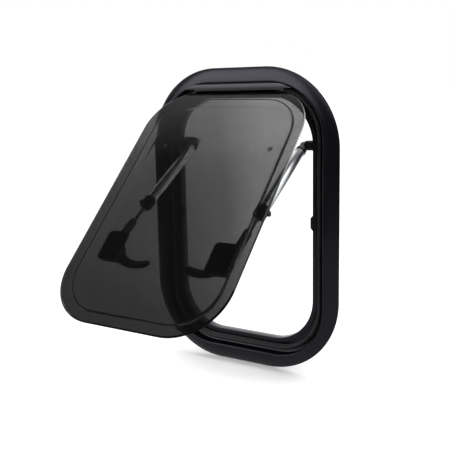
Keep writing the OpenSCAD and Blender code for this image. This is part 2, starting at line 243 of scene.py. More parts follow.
# %% Paper, its glow and its reflections
floor_material, tree, shader = new_material("matt white paper floor")
rays = add(tree, "ShaderNodeLightPath")
place = add(tree, "ShaderNodeTexCoord")
split = add(tree, "ShaderNodeSeparateXYZ", inputs={0: place.outputs["Object"]})
length = add(tree, "ShaderNodeVectorMath", {"operation": "LENGTH"}, {0: place.outputs["Object"]})
away = length.outputs["Value"]
paper = add(tree, "ShaderNodeMix", {"data_type": "RGBA"}, {
    0: rays.outputs["Is Camera Ray"], 6: linear("#dcdcdc"), 7: WHITE})
matt = add(tree, "ShaderNodeBsdfDiffuse", inputs={"Color": paper.outputs[2]})
glow = add(tree, "ShaderNodeEmission", inputs={"Color": WHITE, "Strength": 1.3})
oval = add(tree, "ShaderNodeVectorMath", {"operation": "MULTIPLY"}, {
    0: place.outputs["Object"], 1: (1.0, 1.7, 0.0)})
spread = add(tree, "ShaderNodeVectorMath", {"operation": "LENGTH"}, {0: oval.outputs["Vector"]})
share = add(tree, "ShaderNodeMath", {"operation": "MULTIPLY"}, {
    0: rays.outputs["Is Camera Ray"],
    1: smooth_step(tree, spread.outputs["Value"], 0.07, 0.28, 0.08, 1.0)})
seen = add(tree, "ShaderNodeMixShader", inputs={0: share.outputs[0], 1: matt.outputs[0], 2: glow.outputs[0]})
# Painted reflection: for reflections the paper glows, brighter near the window and behind it and dim in
# front.
near = smooth_step(tree, away, 0.95, 1.6, 0.45, 0.01)
painted_glow_strength = larger(tree, near, smooth_step(tree, split.outputs["Y"], 0.1, 0.7, 0.0, 1.6))
mirrored = add(tree, "ShaderNodeEmission", inputs={"Color": WHITE, "Strength": painted_glow_strength})
mixed = add(tree, "ShaderNodeMixShader", inputs={
    0: rays.outputs["Is Glossy Ray"], 1: seen.outputs[0], 2: mirrored.outputs[0]})
# Painted falloff: through the pane the paper glows with the studio falloff and is painted dimmer close to the
# window.
painted_falloff_glow = add(tree, "ShaderNodeEmission", inputs={
    "Color": painted_studio_falloff(tree, place.outputs["Object"]),
    "Strength": smooth_step(tree, away, 1.2, 6.0, 1.6, 2.35)})
final = add(tree, "ShaderNodeMixShader", inputs={
    0: rays.outputs["Is Transmission Ray"], 1: mixed.outputs[0], 2: painted_falloff_glow.outputs[0]})
tree.links.new(final.outputs[0], tree.nodes["Material Output"].inputs["Surface"])
floor.data.materials.append(floor_material)
print("made", floor_material.name)

# %% [markdown]
# ### The world
# The world lights the window evenly, like a white tent. Reflections find a dim room with four soft
# glows: a broad one overhead on the right, a faint one at the side on the left, a strong one in front
# on the left, which lights the top of the frame, and a wall behind the window, which greys the top of
# the pane. The camera sees plain white.

# %% What a reflection meets
world = bpy.data.worlds.new("white studio")
bpy.context.scene.world = world
world.use_nodes = True
tree = world.node_tree
tree.nodes.clear()
place = add(tree, "ShaderNodeTexCoord")
split = add(tree, "ShaderNodeSeparateXYZ", inputs={0: place.outputs["Generated"]})
around = smooth_step(tree, split.outputs["Z"], 0.1, 0.6, 0.01, 0.08)
for toward, start, end, strength in (
        ((0.45, -0.05, 0.89), 0.52, 0.80, 1.4),
        ((-0.55, -0.83, 0.1), 0.88, 0.97, 0.45),
        ((-0.46, -0.76, 0.46), 0.86, 0.95, 3.0)):
    dot = add(tree, "ShaderNodeVectorMath", {"operation": "DOT_PRODUCT"}, {
        0: place.outputs["Generated"], 1: toward})
    around = larger(tree, around, smooth_step(tree, dot.outputs["Value"], start, end, 0.0, strength))
around = larger(tree, around, smooth_step(tree, split.outputs["Y"], -0.12, 0.15, 0.0, 1.4))
mirrored = add(tree, "ShaderNodeBackground", inputs={"Color": WHITE, "Strength": around})
print("a reflection meets four glows in", world.name)

# %% What light, the pane and the camera meet
rays = add(tree, "ShaderNodeLightPath")
room = add(tree, "ShaderNodeBackground", inputs={
    "Color": WHITE, "Strength": smooth_step(tree, split.outputs["Z"], 0.2, 0.8, 1.25, 1.15)})
through = add(tree, "ShaderNodeBackground", inputs={
    "Color": painted_studio_falloff(tree, place.outputs["Generated"]),
    "Strength": smooth_step(tree, split.outputs["Z"], 0.1, 0.5, 2.35, 0.3)})
white = add(tree, "ShaderNodeBackground", inputs={"Color": WHITE, "Strength": 1.0})
sky = room
for ray, shown in (("Is Glossy Ray", mirrored), ("Is Transmission Ray", through), ("Is Camera Ray", white)):
    sky = add(tree, "ShaderNodeMixShader", inputs={
        0: rays.outputs[ray], 1: sky.outputs[0], 2: shown.outputs[0]})
add(tree, "ShaderNodeOutputWorld", inputs={"Surface": sky.outputs[0]})
print("made", world.name)

# %% [markdown]
# ### The softbox
# One large lamp hangs behind the window on the right. It is weak, because the world already lights the
# window, and it only makes the shadow on the floor fall forward and to the left.

# %% Softbox
def area_lamp(name, place, target, size, power):
    data = bpy.data.lights.new(name, "AREA")
    data.shape = "RECTANGLE"
    data.size, data.size_y = size
    data.energy = power
    lamp = bpy.data.objects.new(name, data)
    aim = Vector(target) - Vector(place)
    lamp.matrix_world = Matrix.Translation(place) @ aim.to_track_quat("-Z", "Y").to_matrix().to_4x4()
    bpy.context.scene.collection.objects.link(lamp)
    print(name, "at", place, "power", power)


area_lamp("overhead softbox", (0.8, 0.8, 1.9), (0, 0, 0.2), (1.2, 0.9), 9)

# %% [markdown]
# ## Black moulded plastic
# The frame is ABS, moulded in black and lightly textured by the tool. It is close to black with a soft
# sheen, so the light shows its form more than its colour does. The grain of such a moulding is about
# 0.3 mm, which is too fine to show here, so it is drawn at about 1 mm and kept shallow.

# %% Material of the frame
frame_plastic, tree, shader = new_material("black textured ABS moulding")
place = add(tree, "ShaderNodeTexCoord").outputs["Object"]
cloud = noise(tree, place, 14.0, 3.0)
tree.links.new(two_tones(tree, cloud, "#0a090d", "#100f14"), shader.inputs["Base Color"])
roughen(tree, shader, cloud, 0.21, 0.28)
emboss(tree, shader, noise(tree, place, 1000.0), 0.12, 0.0002)
shader.inputs["IOR"].default_value = 1.53
shader.inputs["Specular IOR Level"].default_value = 0.35
shader.inputs["Specular Tint"].default_value = linear("#f2eeff")
print("made", frame_plastic.name)

# %% [markdown]
# ## Smoked acrylic
# Both sheets are cast acrylic, tinted grey in the mass, with a polished face. Acrylic bends light a
# little less than window glass, so its IOR is 1.49. The outer sheet is dark and the formed inner one is
# paler, as the margin with one sheet shows.

# %% Materials of the two sheets
def acrylic(name, tint, roughness):
    material, tree, shader = new_material(name)
    shader.inputs["Base Color"].default_value = linear(tint)
    shader.inputs["Transmission Weight"].default_value = 1.0
    shader.inputs["Roughness"].default_value = roughness
    shader.inputs["IOR"].default_value = 1.49
    print("made", name)
    return material


outer_acrylic = acrylic("smoked cast acrylic", "#848484", 0.0)
inner_acrylic = acrylic("pale smoked formed acrylic", "#b6b6b6", 0.0)

# %% [markdown]
# ## How the ring-shaped pieces are built
# The frame, its seal and both sheets are rounded rectangles with changing widths, corner radii and
# heights. Each level is a flat rectangle whose corners are rounded by a vertex bevel. The levels have
# the same number of points, so bridging one to the next makes the wall between them. This follows the
# real moulding, whose recess and opening have tighter corners than its outside.

# %% Levels and bridges
CORNER_STEPS = 24


def level_ring(bm, w, h, r, z, y=0.0):
    start = bmesh.ops.create_grid(bm, x_segments=1, y_segments=1, size=0.5)["verts"]
    bmesh.ops.scale(bm, verts=start, vec=(w, h, 1))
    bmesh.ops.translate(bm, verts=start, vec=(0, y, z))
    face = start[0].link_faces[0]
    made = bmesh.ops.bevel(bm, geom=list(face.verts), offset=r, offset_type="OFFSET", affect="VERTICES",
                           segments=CORNER_STEPS, profile=0.5, material=-1)
    flat = max((f for v in made["verts"] for f in v.link_faces), key=lambda f: len(f.verts))
    return flat


def open_ring(bm, face):
    edges = list(face.edges)
    bmesh.ops.delete(bm, geom=[face], context="FACES_ONLY")
    return edges


def skin(bm, levels, closed=False, caps=()):
    """Bridges levels of (width, height, radius, z) in turn; caps keeps the first or last face."""
    # Two loops in exactly one plane can be bridged crosswise, so such a level moves by a hundredth of a mm.
    faces = []
    for i, (w, h, r, z, *y) in enumerate(levels):
        same = i > 0 and abs(z - levels[i - 1][3]) < 0.001
        faces.append(level_ring(bm, w, h, r, z - 0.01 if same else z, *y))
    rings = [list(f.edges) if (i == 0 and "first" in caps) or (i == len(faces) - 1 and "last" in caps)
             else open_ring(bm, f) for i, f in enumerate(faces)]
    pairs = list(zip(rings, rings[1:])) + ([(rings[-1], rings[0])] if closed else [])
    for a, b in pairs:
        bmesh.ops.bridge_loops(bm, edges=a + b)
    bmesh.ops.recalc_face_normals(bm, faces=bm.faces)


def finish_piece(name, bm, place, material, replaced, sharp=35.0):
    """Places a drawn piece, shades it smooth up to a crease angle and puts it in the scene."""
    bmesh.ops.transform(bm, matrix=place, verts=bm.verts)
    bmesh.ops.recalc_face_normals(bm, faces=bm.faces)
    if bm.calc_volume(signed=True) < 0:
        bmesh.ops.reverse_faces(bm, faces=bm.faces)
        print(name, "was inside out")
    for face in bm.faces:
        face.smooth = len(face.verts) <= 4
    for edge in bm.edges:
        if len(edge.link_faces) == 2 and edge.calc_face_angle(0) > radians(sharp):
            edge.smooth = False
    mesh = bpy.data.meshes.new(name)
    bm.to_mesh(mesh)
    bm.free()
    mesh.materials.append(material)
    piece = bpy.data.objects.new(name, mesh)
    bpy.context.scene.collection.objects.link(piece)
    if replaced:
        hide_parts(*replaced)
    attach(piece, "root")
    print(name, "has", len(mesh.polygons), "faces")
    return piece


# %% [markdown]
# ## The frame
# The frame is one moulding. From outside to inside it has a domed flange that rises to the edge of the
# recess, the wall of the recess, the recess floor that carries the seal, a raised lip and the collar
# that goes through the wall of the vehicle. Two profiles could be swept round a path, but the corners
# get tighter inwards, so it is drawn as levels, from the back of the flange round to the back again.

# %% Levels of the frame
def frame_level(inset, out, r=None):
    if r is None:
        r = FRAME_R - inset
    return (FRAME_W - 2 * inset, FRAME_H - 2 * inset, r, out)


dome_w = FLANGE_W - 1.4
dome_rise = CREST_H - FLANGE_LIP
dome_r = (dome_w ** 2 + dome_rise ** 2) / (2 * dome_rise)


def dome(inset):
    return CREST_H - dome_r + sqrt(dome_r ** 2 - (dome_w - inset) ** 2)


# Each level is (inset, height) or (inset, height, corner radius).
rim = ((1.0, 0.0), (0.25, 0.2), (0.0, 0.7), (0.05, 1.2))
rise = (0.5, 1.2, 2.0, 3.0, 4.5, 6.0, 8.0, 10.0, 12.0, 14.0, 16.0, 18.0)
crest = ((22.0, 101.0), (24.6, 92.5))
recess = ((25.3, 8.8, 91.2), (25.8, 8.3, 90.4), (26.0, 7.6, 90.0), (26.0, -8.8, 90.0),
          (26.3, -9.6, 89.7), (27.1, -10.0, 88.9), (41.6, -10.0, 84.7))
lip = ((42.3, -9.8, 84.2), (42.5, -9.3, 84.0), (42.5, -7.4, 84.0), (42.7, -6.9, 83.8), (43.2, -6.7, 83.3),
       (49.7, -6.7, 76.8), (50.3, -6.9, 76.2), (50.5, -7.5, 76.0))
collar = ((50.5, -21.2, 76.0), (50.3, -21.8, 76.2), (49.8, -22.0, 76.7), (48.6, -22.0, 77.9),
          (48.1, -21.8, 78.4), (48.0, -21.2, 78.5), (48.0, -13.3, 78.5))
tub = ((47.7, -12.7, 78.8), (47.0, -12.5, 79.5), (25.0, -12.5, 91.0), (24.0, -12.3, 92.0),
       (23.5, -11.5, 92.5), (23.5, 0.0, 92.5))
levels = [frame_level(i, z) for i, z in rim] + [frame_level(i, dome(i)) for i in rise]
levels += [frame_level(i, dome(i), r) for i, r in crest]
levels += [frame_level(i, z, r) for i, z, r in recess + lip + collar + tub]
bm = bmesh.new()
skin(bm, levels, closed=True)
finish_piece("outer_frame_moulding", bm, stand, frame_plastic, ["outer_frame"])

# %% [markdown]
# ## The pane
# The pane is two acrylic sheets. The outer one is a flat plate, sawn round and with its front edge
# broken by a small chamfer, so a few levels between two flat faces make it.

# %% Outer sheet
def pane_level(inset, z, r=None):
    if r is None:
        r = PANE_R - inset
    return (PANE_W - 2 * inset, PANE_H - 2 * inset, r, z, PANE_MID)


bm = bmesh.new()
skin(bm, [pane_level(0.5, BOND), pane_level(0.1, BOND + 0.3), pane_level(0.0, BOND + 0.8),
          pane_level(0.0, PANE_FACE - 1.2), pane_level(0.3, PANE_FACE - 0.5), pane_level(1.3, PANE_FACE)],
     caps=("first", "last"))
outer_sheet = finish_piece(
    "outer_sheet_acrylic", bm, swing, outer_acrylic, ["outer_sheet"], 20)

# %% [markdown]
# ### The cut edge of the outer sheet
# Seen from inside the sheet the cut edge is nearly black, because little light comes back through the
# whole width of the tint. Its upper half is polished and mirrors the studio, and the lower half is left
# sawn and matt. Seen from outside, the sides near the hinge carry a painted glow: a pale colour that
# stands in for light that enters the face, runs along inside the sheet and leaves through the edge.
# Light that is traced through such a thin slab stays noisy, so the rim gets materials of its own with
# this painted glow, and Backfacing tells its two sides apart.

# %% Edge of the outer sheet
def edge_material_with_painted_glow(name, rough, level):
    material, tree, shader = new_material(name)
    place = add(tree, "ShaderNodeTexCoord")
    dark = two_tones(tree, noise(tree, place.outputs["Object"], 700.0), "#040405", "#0a0a0b")
    side = add(tree, "ShaderNodeNewGeometry")
    split = add(tree, "ShaderNodeSeparateXYZ", inputs={0: place.outputs["Object"]})
    outside = add(tree, "ShaderNodeMath", {"operation": "SUBTRACT"}, {0: 1.0, 1: side.outputs["Backfacing"]})
    normal = add(tree, "ShaderNodeSeparateXYZ", inputs={0: side.outputs["Normal"]})
    across = add(tree, "ShaderNodeMath", {"operation": "ABSOLUTE"}, {0: normal.outputs["X"]})
    glow_near_hinge = add(tree, "ShaderNodeMath", {"operation": "MULTIPLY"}, {
        0: smooth_step(tree, across.outputs[0], 0.35, 0.8),
        1: smooth_step(tree, split.outputs["Z"], 0.30, 0.42)})
    # Painted glow: a pale colour on the outer side of the edge near the hinge, in place of light carried
    # through the sheet.
    pale = add(tree, "ShaderNodeMath", {"operation": "MULTIPLY"}, {
        0: outside.outputs[0], 1: glow_near_hinge.outputs[0]})
    tone = add(tree, "ShaderNodeMix", {"data_type": "RGBA"}, {
        0: pale.outputs[0], 6: dark, 7: linear("#c8c8ca")})
    tree.links.new(tone.outputs[2], shader.inputs["Base Color"])
    shader.inputs["Roughness"].default_value = rough
    shader.inputs["Specular IOR Level"].default_value = level
    shader.inputs["IOR"].default_value = 1.49
    return material


outer_sheet.data.materials.append(edge_material_with_painted_glow("polished edge of smoked acrylic with painted glow", 0.14, 0.5))
outer_sheet.data.materials.append(edge_material_with_painted_glow("sawn edge of smoked acrylic with painted glow", 0.7, 0.05))
facing = (swing.to_3x3() @ Vector((0, 0, 1))).normalized()
up_pane = (swing.to_3x3() @ Vector((0, 1, 0))).normalized()
middle = swing @ Vector((0, PANE_MID, BOND))
for face in outer_sheet.data.polygons:
    upper = (face.center - middle).dot(up_pane) > 0
    face.material_index = 0 if abs(face.normal.dot(facing)) > 0.97 else 1 if upper else 2
print("the rim has", sum(f.material_index > 0 for f in outer_sheet.data.polygons), "faces")

# %% [markdown]
# ### The inner sheet
# The inner sheet is vacuum formed: warm acrylic is drawn into a tray, so its walls lean and its root and
# rim are round. It is bonded to the outer sheet along a flat margin. The levels run from the inside of
# the tray over its margin and back along the outside, which gives the sheet its thickness.

# %% Inner sheet
def tray_level(inset, z):
    return pane_level(TRAY_INSET + inset, z, TRAY_R - inset)


leaf = BOND - INNER_T
bm = bmesh.new()
skin(bm, [tray_level(TRAY_SLOPE + 1.6, TRAY_BACK + INNER_T),
          tray_level(TRAY_SLOPE - 0.6, TRAY_BACK + INNER_T + 0.5),
          tray_level(TRAY_SLOPE - 1.6, TRAY_BACK + INNER_T + 1.8),
          tray_level(1.2, BOND - 2.6), tray_level(0.6, BOND - 1.2), tray_level(-0.2, BOND - 0.35),
          tray_level(-1.6, BOND - 0.02),
          pane_level(1.6, BOND - 0.02), pane_level(1.2, BOND - 0.4), pane_level(1.2, leaf + 0.3),
          pane_level(1.6, leaf),
          tray_level(-3.0, leaf), tray_level(-1.6, leaf - 0.4), tray_level(-0.8, leaf - 1.6),
          tray_level(TRAY_SLOPE - 2.6, TRAY_BACK + 2.2), tray_level(TRAY_SLOPE - 1.2, TRAY_BACK + 0.6),
          tray_level(TRAY_SLOPE + 1.2, TRAY_BACK)], caps=("first", "last"))
finish_piece("inner_sheet_tray", bm, swing, inner_acrylic, ["inner_sheet"])

# %% [markdown]
# ## Shapes for the fittings
# The fittings are turned, sawn or moulded, and four short functions cover them. A turned piece is a
# profile spun about its axis. A block and a plate are extruded and get rounded edges, as a mould gives
# them. A loft bridges a row of sections, for the pieces that bend or taper.

# %% Turned pieces
def lay(bm, before, place):
    """Moves what was just drawn from its own axes to its place."""
    fresh = [v for v in bm.verts if v not in before]
    bmesh.ops.transform(bm, matrix=place, verts=fresh)


def lathe(bm, profile, place=Matrix(), closed=False, steps=48):
    """Spins (radius, height) points about the local Z axis; u runs round the piece and v along it, in mm."""
    before = set(bm.verts)
    verts = [bm.verts.new((r, 0, z)) for r, z in profile]
    edges = [bm.edges.new(pair) for pair in zip(verts, verts[1:] + verts[:1] if closed else verts[1:])]
    bmesh.ops.spin(bm, geom=verts + edges, axis=(0, 0, 1), cent=(0, 0, 0), angle=2 * pi, steps=steps,
                   use_merge=True, use_duplicate=False)
    fresh = [v for v in bm.verts if v not in before]
    bmesh.ops.remove_doubles(bm, verts=[v for v in fresh if v.co.xy.length < 0.001], dist=0.001)
    fresh = [v for v in bm.verts if v not in before]
    uv = bm.loops.layers.uv.verify()
    for face in {f for v in fresh for f in v.link_faces}:
        middle = face.calc_center_median()
        start = atan2(middle.y, middle.x)
        for loop in face.loops:
            x, y, z = loop.vert.co
            off = (atan2(y, x) - start + pi) % (2 * pi) - pi if x * x + y * y > 0.000001 else 0.0
            loop[uv].uv = ((start + off) * 10, z)
    bmesh.ops.transform(bm, matrix=place, verts=fresh)


print("a turned piece is spun in 48 steps, unless it says otherwise")


# %% Blocks and plates
def block(bm, low, high, edge=0.8, place=Matrix(), segments=3):
    """A moulded block between two corners, with every edge rounded."""
    before = set(bm.verts)
    cube = bmesh.ops.create_cube(bm, size=1.0)["verts"]
    size = Vector(high) - Vector(low)
    bmesh.ops.scale(bm, verts=cube, vec=size)
    bmesh.ops.translate(bm, verts=cube, vec=(Vector(high) + Vector(low)) / 2)
    edges = list({e for v in cube for e in v.link_edges})
    bmesh.ops.bevel(bm, geom=edges, offset=edge, offset_type="OFFSET", affect="EDGES", segments=segments,
                    profile=0.5, material=-1)
    lay(bm, before, place)


def plate(bm, outline, z0, z1, edge=0.5, place=Matrix(), segments=2):
    """A flat outline with a thickness, with both of its rims rounded."""
    before = set(bm.verts)
    base = bm.faces.new([bm.verts.new((x, y, z0)) for x, y in outline])
    top = [g for g in bmesh.ops.extrude_face_region(bm, geom=[base])["geom"]
           if isinstance(g, bmesh.types.BMVert)]
    bmesh.ops.translate(bm, verts=top, vec=(0, 0, z1 - z0))
    fresh = [v for v in bm.verts if v not in before]
    rims = [e for e in {e for v in fresh for e in v.link_edges}
            if abs(e.verts[0].co.z - e.verts[1].co.z) < 0.001]
    bmesh.ops.bevel(bm, geom=rims, offset=edge, offset_type="OFFSET", affect="EDGES", segments=segments,
                    profile=0.5, material=-1)
    lay(bm, before, place)


print("blocks and plates have rounded edges")


# %% Lofts and outlines
def loft(bm, sections, place=Matrix()):
    """Bridges sections with the same number of points, from last to first; the two ends stay closed."""
    before = set(bm.verts)
    caps = [bm.faces.new([bm.verts.new(p) for p in section]) for section in reversed(sections)]
    loops = [list(face.edges) for face in caps]
    bmesh.ops.delete(bm, geom=caps[1:-1], context="FACES_ONLY")
    for a, b in zip(loops, loops[1:]):
        bmesh.ops.bridge_loops(bm, edges=a + b)
    lay(bm, before, place)


def rounded(w, h, r, steps=6, x=0.0, y=0.0):
    """Points of a rounded rectangle, anticlockwise."""
    points = []
    for cx, cy, start in ((1, 1, 0), (-1, 1, 90), (-1, -1, 180), (1, -1, 270)):
        for k in range(steps + 1):
            a = radians(start + 90 * k / steps)
            points.append((x + cx * (w / 2 - r) + r * cos(a), y + cy * (h / 2 - r) + r * sin(a)))
    return points


def arc(cx, cy, r, start, end, steps):
    """Points on an arc, from one angle to another in degrees."""
    turns = [radians(start + (end - start) * k / steps) for k in range(steps + 1)]
    return [(cx + r * cos(a), cy + r * sin(a)) for a in turns]


print("a rounded rectangle has", len(rounded(10, 10, 2)), "points")


# %% Turns and moves
def spin_x(degrees):
    return Matrix.Rotation(radians(degrees), 4, "X")


def spin_y(degrees):
    return Matrix.Rotation(radians(degrees), 4, "Y")


def flip(side):
    """Both hands are drawn as the right one; the left side, -1, is mirrored across the window."""
    return Matrix.Scale(-1, 4, (1, 0, 0)) if side < 0 else Matrix()


move = Matrix.Translation
SIDES = ((-1, "left"), (1, "right"))
print("sides:", SIDES)

# %% [markdown]
# ## Screws
# The brackets and the latches are held by small pan-head screws of plated steel with a cross recess.
# A slot could be cut out of each head, but at this size a turned head whose middle sinks in, with two
# small crossed bars in it, looks the same and stays light.

# %% Screw head
def screw(bm, place, r=2.6, h=1.6):
    """A pan head whose seat is at local z = 0 and whose recess looks along +z."""
    lathe(bm, [(0, -0.3), (r * 0.9, -0.3), (r, 0.15), (r * 0.98, h * 0.45), (r * 0.85, h * 0.8),
               (r * 0.6, h * 0.97), (r * 0.45, h), (r * 0.3, h * 0.62), (0, h * 0.5)], place, steps=24)
    for turn in (45, 135):
        flat = place @ Matrix.Rotation(radians(turn), 4, "Z")
        block(bm, (-r * 0.42, -r * 0.09, h * 0.5), (r * 0.42, r * 0.09, h * 0.78), r * 0.04, flat, 1)


# %% [markdown]
# ## Black nylon
# Stay ends, brackets and latches are moulded in glass-filled nylon. It is black in the mass and a little
# duller than the frame, and the fibres leave a fine, uneven skin.

# %% Material of the black fittings
nylon, tree, shader = new_material("black glass-filled nylon")
place = add(tree, "ShaderNodeTexCoord").outputs["Object"]
patch = noise(tree, place, 60.0)
tree.links.new(two_tones(tree, patch, "#121215", "#1b1b1f"), shader.inputs["Base Color"])
roughen(tree, shader, patch, 0.46, 0.60)
emboss(tree, shader, noise(tree, place, 1400.0, 3.0), 0.15, 0.0001)
print("made", nylon.name)

# %% [markdown]
# ## Rubber
# The seal and the pads are extruded or moulded EPDM rubber. It is matt and nearly black, and a thin
# grey bloom of wax comes to its surface in patches.

# %% Material of the seal and the pads
rubber, tree, shader = new_material("black EPDM rubber")
place = add(tree, "ShaderNodeTexCoord").outputs["Object"]
bloom = noise(tree, place, 35.0, 4.0)
tone = add(tree, "ShaderNodeValToRGB", inputs={0: bloom})
tone.color_ramp.elements[0].position, tone.color_ramp.elements[0].color = 0.35, linear("#0e0e10")
tone.color_ramp.elements[1].position, tone.color_ramp.elements[1].color = 0.75, linear("#232326")
tree.links.new(tone.outputs["Color"], shader.inputs["Base Color"])
roughen(tree, shader, bloom, 0.5, 0.7, 0.0, 1.0)
emboss(tree, shader, noise(tree, place, 900.0), 0.1, 0.0002)
print("made", rubber.name)

# %% [markdown]
# ## Aluminium and steel
# The stay tubes are drawn aluminium with a satin anodised skin, and the rods are dull drawn aluminium.
# Drawing leaves fine marks along a piece, so the noise is stretched along it: the lathe function gives v
# along the piece and u round it. The pins and screws are zinc-plated steel. The hinge rail is an
# extrusion with a grey coating. The hanger gets a paler copy of that coating, which is painted light:
# it stands in for light on the leaf that lies in shade behind the pane. Both are only a little metallic,
# and their marks follow the X axis, across the window.

# %% Metal with drawn or turned marks
def metal(name, colour, worn, rough, stretch, source="UV", depth=0.06, bare=1.0):
    material, tree, shader = new_material(name)
    place = add(tree, "ShaderNodeTexCoord")
    shrink = add(tree, "ShaderNodeMapping", inputs={"Vector": place.outputs[source], "Scale": stretch})
    marks = add(tree, "ShaderNodeTexNoise", inputs={
        "Vector": shrink.outputs[0], "Scale": 1.0, "Detail": 4.0, "Roughness": 0.6}).outputs["Fac"]
    cloud = noise(tree, place.outputs["Object"], 40.0)
    tree.links.new(two_tones(tree, cloud, colour, worn), shader.inputs["Base Color"])
    roughen(tree, shader, marks, *rough)
    emboss(tree, shader, marks, depth, 0.0001)
    shader.inputs["Metallic"].default_value = bare
    print("made", name)
    return material


tube_metal = metal("satin anodised aluminium tube", "#d6d8da", "#c6c9cc", (0.24, 0.38), (1.4, 0.03, 1))
rod_metal = metal("dull drawn aluminium rod", "#6a6c70", "#5e6064", (0.16, 0.28), (1.2, 0.03, 1))
steel = metal("zinc-plated steel", "#c4c6ca", "#a5a8ad", (0.24, 0.36), (0.3, 0.8, 1))
coated = {"rough": (0.5, 0.62), "stretch": (6, 900, 900), "source": "Object", "bare": 0.2}
rail_metal = metal("grey coated rail extrusion", "#68686c", "#5e5e62", **coated)
hanger_painted_lighter = metal("hanger extrusion painted paler against shade", "#c0c0c4", "#b0b0b4", **coated)

# %% [markdown]
# ## The seal
# A bulb of rubber runs round the recess floor on a foot that is glued down, and the pane closes on it.
# Its section is drawn once, as distances outwards from the middle of the foot, and goes round as levels.

# %% Rubber seal
SEAL_INSET, BULB_R, SEAL_TOP = 36.0, 3.0, 1.2
FLOOR = -10.0  # the floor of the recess
section = [(-4.3, FLOOR), (-4.5, FLOOR + 0.4), (-3.9, FLOOR + 1.5), (-2.2, FLOOR + 2.3), (-1.3, FLOOR + 2.8),
           (-1.2, SEAL_TOP - 6.2)]
section += arc(0, SEAL_TOP - BULB_R, BULB_R, 246, -66, 20)
section += [(1.2, SEAL_TOP - 6.2), (1.3, FLOOR + 2.8), (2.2, FLOOR + 2.3), (3.9, FLOOR + 1.5),
            (4.5, FLOOR + 0.4), (4.3, FLOOR)]
seal_r = RECESS_R - SEAL_INSET + FLANGE_W
bm = bmesh.new()
skin(bm, [frame_level(SEAL_INSET - x, z, seal_r + x) for x, z in section], closed=True)
finish_piece("bulb_seal", bm, stand, rubber, ["frame_seal"])

# %% [markdown]
# ## The hinge rail
# The rail is an aluminium extrusion screwed into the top of the recess. Its channel is open on the
# inside, and the bead of the pane hanger turns in it. Both ends are trimmed to the round corners of the
# recess, so each point of the section runs as far across as the corner lets it. A thin rubber strip
# fills the gap between the rail and the flange.

# %% Rail and gap strip
def reach(y):
    """Half the width of the recess at a height above the middle, less a little clearance."""
    r = RECESS_R - 0.2
    up = max(0.0, y - (FRAME_H / 2 - FLANGE_W - RECESS_R))
    return FRAME_W / 2 - FLANGE_W - 0.2 - r + sqrt(max(r * r - up * up, 0.0))


def strip(bm, outline, place, half=None):
    """Runs an outline of (y, z) points across the window, as far as its own half width or the recess."""
    ends = [[((half or reach(y)) * side, y, z) for y, z in outline] for side in (-1, 1)]
    loft(bm, ends, place)
    bmesh.ops.triangulate(bm, faces=[f for f in bm.faces if len(f.verts) > 4])


CHANNEL_R, BORE_R, BEAD_R = 4.5, 3.15, 2.9
WALL = FRAME_H / 2 - FLANGE_W
outline = arc(AXIS_Y, AXIS_Z, BORE_R, -85, 168, 22) + arc(AXIS_Y, AXIS_Z, CHANNEL_R, 168, 125, 8)
outline += [(AXIS_Y - 2.1, AXIS_Z + 4.3), (AXIS_Y - 1.7, AXIS_Z + 4.5), (WALL - 2.0, AXIS_Z + 4.5),
            (WALL - 1.5, AXIS_Z + 4.2), (WALL - 1.4, AXIS_Z + 3.6), (WALL - 1.4, CREST_H - 1.0),
            (WALL - 0.1, CREST_H - 2.0), (WALL - 0.1, FLOOR + 0.4),
            (WALL - 0.5, FLOOR), (WALL - 1.8, FLOOR), (WALL - 2.2, FLOOR + 0.4), (WALL - 2.2, AXIS_Z - 5.2)]
outline += arc(AXIS_Y, AXIS_Z, CHANNEL_R, -50, -85, 5)
bm = bmesh.new()
strip(bm, outline, stand)
finish_piece("hinge_rail_extrusion", bm, Matrix(), rail_metal, ["hinge_rail"], 30)
bm = bmesh.new()
strip(bm, [(WALL - 0.05, CREST_H - 1.9), (WALL - 1.35, CREST_H - 0.9), (WALL - 1.35, CREST_H + 2.4),
           (WALL - 0.8, CREST_H + 3.2), (WALL - 0.05, CREST_H + 2.4)], stand)
finish_piece("rail_gap_strip", bm, Matrix(), rubber, [], 30)

# %% [markdown]
# ### The hanger
# The hanger is a strip along the top of the pane. Its round bead turns in the rail, and its flat
# leaf lies against the inside of the outer sheet. The part that stands above the pane is grey like the
# rail, so its upper faces take the rail's material. The leaf below gets a paler copy of it. This is
# painted light that makes up for the shade the leaf lies in behind the pane.

# %% Hanger
outline = arc(AXIS_Y, AXIS_Z, BEAD_R, -68, 248, 26)
outline += [(AXIS_Y - 1.1, BOND + 1.4), (AXIS_Y - 1.6, BOND - 1.1), (AXIS_Y - 2.4, BOND - 1.6),
            (AXIS_Y - 15.4, BOND - 1.6), (AXIS_Y - 15.9, BOND - 2.1), (AXIS_Y - 15.9, BOND - 3.5),
            (AXIS_Y - 15.5, BOND - 3.8), (AXIS_Y - 2.2, BOND - 3.8), (AXIS_Y + 0.4, BOND - 3.8),
            (AXIS_Y + 1.1, BOND - 3.1)]
bm = bmesh.new()
strip(bm, outline, swing, FRAME_W / 2 - FLANGE_W - RECESS_R + 20.0)
hanger = finish_piece(
    "pane_hanger_profile", bm, Matrix(), hanger_painted_lighter, ["pane_hanger"], 30)
hanger.data.materials.append(rail_metal)
# Painted light: faces below the pane's top edge keep the paler copy, standing in for light in the shade
# behind the pane.
top_edge = swing @ Vector((0, PANE_TOP, BOND))
for face in hanger.data.polygons:
    face.material_index = 1 if (face.center - top_edge).dot(up_pane) > -0.0005 else 0

# %% [markdown]
# ## The bond
# A bead of black adhesive joins the two sheets where the tray leaves the flat margin. Seen through the
# tint it draws a thin dark line round the pane.

